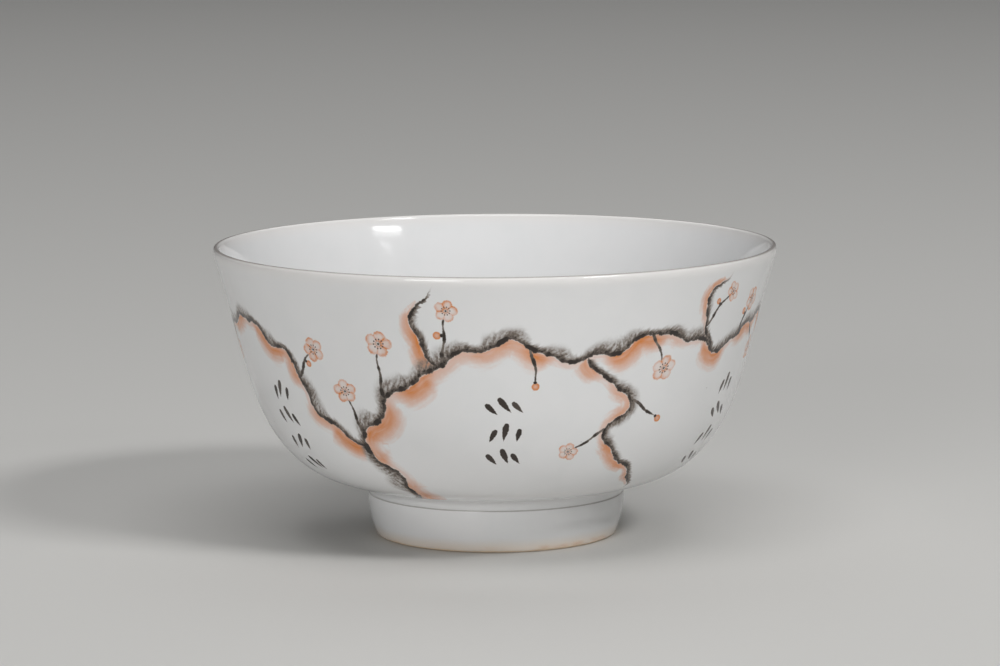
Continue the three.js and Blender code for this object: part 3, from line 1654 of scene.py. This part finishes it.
@dataclass(frozen=True)
class PaintedGlaze:
    """Clear gloss glaze on white porcelain, with the brush-work and the bare standing ring.

    Heights and widths in millimetres, rates in lumps per millimetre.
    """

    crest: float
    crease: float
    porcelain: Colour = screen_colour(229, 229, 229)
    pooled: Colour = screen_colour(206, 212, 212)
    wash: Colour = screen_colour(130, 119, 110)
    ink: Colour = screen_colour(42, 33, 28)
    wash_share: Span = (0.0, 0.6)
    ink_share: Span = (0.4, 1.0)
    iron_red: Colour = screen_colour(238, 147, 76)
    biscuit: Colour = screen_colour(228, 208, 184)
    burn: Colour = screen_colour(208, 154, 106)
    # Grey of the painted shade lines at the lip's crest, in the crease above the foot and at the
    # cove's top
    line: Colour = screen_colour(150, 142, 136)
    thin: Colour = screen_colour(231, 226, 221)
    speck: Colour = screen_colour(92, 74, 60)
    gloss: Span = (0.05, 0.09)
    paint_gloss: float = 0.2
    biscuit_roughness: float = 0.65
    fine_rate: float = 2.2
    cloud_rate: float = 0.5
    drift_rate: float = 0.13
    tone_span: Span = (0.4, 0.75)
    tone_drift: float = 0.1
    bare_edge: Span = (0.0, 0.9)
    bare_tear: float = 0.35
    bare_soft: float = 0.1
    warm_width: float = 2.8
    warm_strength: float = 0.55
    burn_width: float = 1.1
    burn_span: Span = (0.5, 0.68)
    burn_strength: float = 0.5
    # Painted shade: widths of the grey lines in the crease and at the cove's top
    line_half: Span = (0.12, 0.32)
    # Painted shade and painted dark reflection: a grey line just below the lip's crest
    crest_shade_drop: float = 0.15
    crest_shade_half: Span = (0.15, 0.5)
    crest_shade_strength: float = 0.75
    # Painted shade: strengths of the grey lines in the crease and at the cove's top
    crease_shade_strength: float = 0.6
    cove_shade_strength: float = 0.3
    lip_width: float = 3.5
    lip_strength: float = 0.5
    speck_rate: float = 0.15
    speck_radius: Span = (0.05, 0.17)
    speck_strength: float = 0.6
    peel_rate: float = 1.1
    peel_depth: float = 0.0035
    grain_rate: float = 7.0
    grain_depth: float = 0.03
    boughs: BoughBrush = BoughBrush()
    flowers: FlowerBrush = FlowerBrush()
    dabs: DabBrush = DabBrush()

    def _brush_work(self, sheet: NodeSheet, fine: Wire, cloud: Wire) -> tuple[Wire, Wire]:
        """Lay all brush-work.

        Args:
            sheet: the material's nodes.
            fine: fine noise of the surface.
            cloud: coarse noise of the surface.

        Returns:
            How much ink and how much iron red lies there.
        """
        first = self.boughs.bough(sheet, Coat.FIRST, fine, cloud)
        second = self.boughs.bough(sheet, Coat.SECOND, fine, cloud)
        ink = first[0].most(second[0]).most(self.boughs.twigs(sheet, fine))
        red = first[1].most(second[1])
        for coat in FlowerCoat:
            cover, flower_ink, flower_red = self.flowers.shade(sheet, coat, fine, cloud)
            ink = (ink * (1 - cover)).most(flower_ink)
            red = (red * (1 - cover)).most(flower_red)
        return ink.most(self.dabs.shade(sheet, fine)), red

    def _ground(self, sheet: NodeSheet, place: Wire, climb: Wire, drift: Wire) -> Wire:
        """Colour the unpainted glaze: its drift in tone, its lip, painted shade lines and its specks.

        Args:
            sheet: the material's nodes.
            place: where the surface lies.
            climb: way up the outside.
            drift: very coarse noise of the surface.

        Returns:
            The colour.
        """
        pool = drift.ramp(*self.tone_span) * self.tone_drift
        colour = sheet.blend(pool, self.porcelain, self.pooled)
        lip = abs(climb - self.crest).fall(0.0, self.lip_width)
        colour = sheet.blend(lip * self.lip_strength, colour, self.thin)
        # Painted shade: grey lines along the lip's crest (there also painted dark reflection), in the
        # crease and at the cove's top
        for way, half, strength in [
            (self.crest - self.crest_shade_drop, self.crest_shade_half, self.crest_shade_strength),
            (self.crease, self.line_half, self.crease_shade_strength),
            (0.0, self.line_half, self.cove_shade_strength),
        ]:
            line = abs(climb - way).fall(*half)
            colour = sheet.blend(line * strength, colour, self.line)
        spots = sheet.add("ShaderNodeTexVoronoi", inputs={"Vector": place, "Scale": self.speck_rate})
        speck = (spots / self.speck_rate).fall(*self.speck_radius)
        return sheet.blend(speck * self.speck_strength, colour, self.speck)

    def _foot(self, sheet: NodeSheet, colour: Wire, above: Wire, bare: Wire, drift: Wire) -> Wire:
        """Colour the bare standing ring, its burn line and the warm glaze above them.

        Args:
            sheet: the material's nodes.
            colour: the colour so far.
            above: height above the ring's uneven edge.
            bare: where the ring is bare.
            drift: very coarse noise of the surface.

        Returns:
            The colour.
        """
        warm = above.fall(0.0, self.warm_width)
        colour = sheet.blend(warm * self.warm_strength, colour, self.biscuit)
        blush = above.fall(0.0, self.burn_width) * drift.ramp(*self.burn_span)
        colour = sheet.blend(blush * self.burn_strength, colour, self.burn)
        return sheet.blend(bare, colour, self.biscuit)

    def material(self) -> bpy.types.Material:
        """Build the material.

        Returns:
            The finished material.
        """
        material = bpy.data.materials.new("painted_glaze")
        material.use_nodes = True
        material.node_tree.nodes.clear()
        sheet = NodeSheet(material.node_tree)
        metres = sheet.add("ShaderNodeTexCoord", output="Object")
        place = sheet.add("ShaderNodeVectorMath", {"operation": "SCALE"}, {0: metres, "Scale": 1 / MM})
        _, _, height = sheet.parts(place)
        climb = sheet.add("ShaderNodeAttribute", {"attribute_name": "climb"}, output="Fac") / MM
        fine = sheet.noise(place, self.fine_rate)
        cloud = sheet.noise(place, self.cloud_rate)
        drift = sheet.noise(place, self.drift_rate)
        ink, red = self._brush_work(sheet, fine, cloud)

        colour = self._ground(sheet, place, climb, drift)
        colour = sheet.blend(red, colour, self.iron_red, Laying.STAIN)
        colour = sheet.blend(ink.ramp(*self.wash_share), colour, self.wash)
        colour = sheet.blend(ink.ramp(*self.ink_share), colour, self.ink)
        above = height - drift.scaled(*self.bare_edge) - fine.swing(self.bare_tear)
        bare = above.fall(-self.bare_soft, self.bare_soft)
        colour = self._foot(sheet, colour, above, bare, drift)

        rough = drift.scaled(*self.gloss) + ink.most(red) * (self.paint_gloss - self.gloss[0])
        rough = rough + bare * (self.biscuit_roughness - self.gloss[0])
        peel = sheet.noise(place, self.peel_rate, 1.0).swing(self.peel_depth * MM)
        grain = sheet.noise(place, self.grain_rate).swing(self.grain_depth * MM)
        relief = sheet.add("ShaderNodeBump", inputs={"Distance": 1.0, "Height": peel + grain * bare})
        inputs = {"Base Color": colour, "Roughness": rough, "Normal": relief}
        shader = sheet.add("ShaderNodeBsdfPrincipled", inputs=inputs)
        sheet.node("ShaderNodeOutputMaterial", inputs={"Surface": shader})
        return material


# The studio


@dataclass(frozen=True)
class SoftBox:
    """A studio lamp with a white cloth front, facing the bowl."""

    name: str
    turn: float
    elevation: float
    distance: float
    width: float
    height: float
    power: float
    roll: float = 0.0

    def build(self, centre: Vector) -> None:
        """Hang the lamp.

        Args:
            centre: what it faces.
        """
        turn, rise = math.radians(self.turn), math.radians(self.elevation)
        out = math.cos(rise)
        away = Vector((math.sin(turn) * out, -math.cos(turn) * out, math.sin(rise)))
        data = bpy.data.lights.new(self.name, "AREA")
        data.shape = "RECTANGLE"
        data.size, data.size_y = self.width, self.height
        data.energy = self.power
        lamp = bpy.data.objects.new(self.name, data)
        lamp.location = centre + away * self.distance
        lamp.rotation_mode = "QUATERNION"
        roll = Quaternion((0, 0, 1), math.radians(self.roll))
        lamp.rotation_quaternion = away.to_track_quat("Z", "Y") @ roll
        bpy.context.scene.collection.objects.link(lamp)


@dataclass
class Studio:
    """Pale floor, soft light and the camera at the picture's viewing angle. Metres and degrees."""

    target_height: float = 30 * MM
    distance: float = 0.8
    elevation: float = 8.55
    roll: float = -0.31
    focal_pixels: float = 4008.0
    target_pixel: Place = (495.5, 382.6)
    clip_start: float = 0.01
    floor_radius: float = 8.0
    floor_sides: int = 96
    floor_roughness: float = 0.7
    floor_colour: Colour = screen_colour(206, 205, 202)
    world_colour: Colour = screen_colour(226, 227, 230)
    world_strength: float = 0.06
    lamps: tuple[SoftBox, ...] = (
        SoftBox("left", -25, 11, distance=1.6, width=0.62, height=0.45, power=7.8),
        SoftBox("right", 48, 40, distance=1.6, width=0.4, height=0.2, power=10.0),
        SoftBox("high", 0, 70, distance=2.0, width=1.6, height=1.0, power=14.0),
        SoftBox("back", 180, 55, distance=3.0, width=3.2, height=2.4, power=23.0),
        SoftBox("window", 52.2, 28.5, distance=1.0, width=0.22, height=0.04, power=0.36, roll=-6.5),
        SoftBox("pane", 53.2, 25.75, distance=1.0, width=0.08, height=0.009, power=0.012),
    )

    def camera(self) -> None:
        """Place the camera so that the bowl lies in the frame as pictured."""
        rise, roll = math.radians(self.elevation), math.radians(self.roll)
        target = Vector((0, 0, self.target_height))
        back = Vector((0, -math.cos(rise), math.sin(rise)))
        level = Vector((1, 0, 0))
        upright = back.cross(level)
        right = level * math.cos(roll) + upright * math.sin(roll)
        up = upright * math.cos(roll) - level * math.sin(roll)
        aside = self.target_pixel[0] - IMAGE_WIDTH / 2
        below = self.target_pixel[1] - IMAGE_HEIGHT / 2
        axis = (back * self.focal_pixels + right * aside - up * below).normalized()
        up = (up - axis * up.dot(axis)).normalized()
        right = up.cross(axis)
        data = bpy.data.cameras.new("camera")
        data.sensor_width = SENSOR_WIDTH
        data.lens = self.focal_pixels / IMAGE_WIDTH * SENSOR_WIDTH
        data.clip_start = self.clip_start
        camera = bpy.data.objects.new("camera", data)
        turned = Matrix((right, up, axis)).transposed().to_4x4()
        camera.matrix_world = Matrix.Translation(target + back * self.distance) @ turned
        bpy.context.scene.collection.objects.link(camera)
        bpy.context.scene.camera = camera

    def floor(self) -> None:
        """Lay the pale floor."""
        mesh = bpy.data.meshes.new("floor")
        shape = bmesh.new()
        sides, radius = self.floor_sides, self.floor_radius
        bmesh.ops.create_circle(shape, cap_ends=True, segments=sides, radius=radius)
        shape.to_mesh(mesh)
        shape.free()
        material = bpy.data.materials.new("pale_floor")
        material.use_nodes = True
        shader = material.node_tree.nodes["Principled BSDF"]
        shader.inputs["Base Color"].default_value = self.floor_colour
        shader.inputs["Roughness"].default_value = self.floor_roughness
        mesh.materials.append(material)
        floor = bpy.data.objects.new("floor", mesh)
        bpy.context.scene.collection.objects.link(floor)

    def build(self) -> None:
        """Set up floor, lamps, world and camera."""
        self.floor()
        for lamp in self.lamps:
            lamp.build(Vector((0, 0, self.target_height)))
        world = bpy.data.worlds.new("studio")
        bpy.context.scene.world = world
        world.use_nodes = True
        backdrop = world.node_tree.nodes["Background"]
        backdrop.inputs["Color"].default_value = self.world_colour
        backdrop.inputs["Strength"].default_value = self.world_strength
        bpy.context.scene.view_settings.view_transform = "Standard"
        self.camera()


# This bowl's own painting

FIRST, SECOND = Coat.FIRST, Coat.SECOND
LEFT, RIGHT = InkSide.LEFT, InkSide.RIGHT
TRUNK = (
    (-30, 2), (-24, 13), (-33, 23), (-23, 33), (-12, 41), (4, 45), (20, 41),
    (36, 46), (54, 41), (78, 45), (104, 38), (132, 43), (156, 38),
)
LEFT_LIMB = ((-33, 23), (-44, 29), (-52, 41), (-68, 46), (-90, 41), (-114, 46), (-140, 41))
LEFT_SHOOT = ((-12, 41), (-17, 49), (-11, 58))
HANGING_LIMB = ((20, 41), (30, 33), (26, 24), (37, 16), (41, 6))
RIGHT_SHOOT = ((54, 41), (48, 50), (56, 58))
FAR_RIGHT_LIMB = ((104, 38), (112, 28), (106, 17))
FAR_LEFT_LIMB = ((-90, 41), (-98, 30), (-90, 18))
BOUGHS = (
    Bough(FIRST, LEFT, TRUNK, girth=1.3, taper=0.6, root_fade=5),
    Bough(SECOND, RIGHT, LEFT_LIMB),
    Bough(SECOND, RIGHT, LEFT_SHOOT, girth=0.8),
    Bough(SECOND, LEFT, HANGING_LIMB, girth=0.9),
    Bough(SECOND, RIGHT, RIGHT_SHOOT, girth=0.8),
    Bough(SECOND, LEFT, FAR_RIGHT_LIMB, girth=0.8),
    Bough(FIRST, RIGHT, FAR_LEFT_LIMB, girth=0.8),
)
COLUMNS = (DabColumn(2, 35, 3), DabColumn(-57, 35, 4), DabColumn(65, 35, 4))


def main() -> None:
    """Build the bowl, paint it and set up the studio."""
    logging.basicConfig(level=logging.INFO, format="%(message)s")
    body = PorcelainBowl.from_frame()
    outline = body.outline()
    crest = outline.climb_at(body.height) / MM
    crease = outline.climb_at(body.crease_height) / MM
    bowl = body.build(PaintedGlaze(crest, crease).material())
    growth = Painting(BOUGHS, COLUMNS).mark(bowl.data, outline)
    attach(bowl, "root")
    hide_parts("bowl")
    log.info("%s: %d faces", bowl.name, len(bowl.data.polygons))
    log.info("painting: %d twigs, %d flowers", len(growth.twigs), len(growth.flowers))
    Studio().build()


if __name__ == "__main__":
    main()
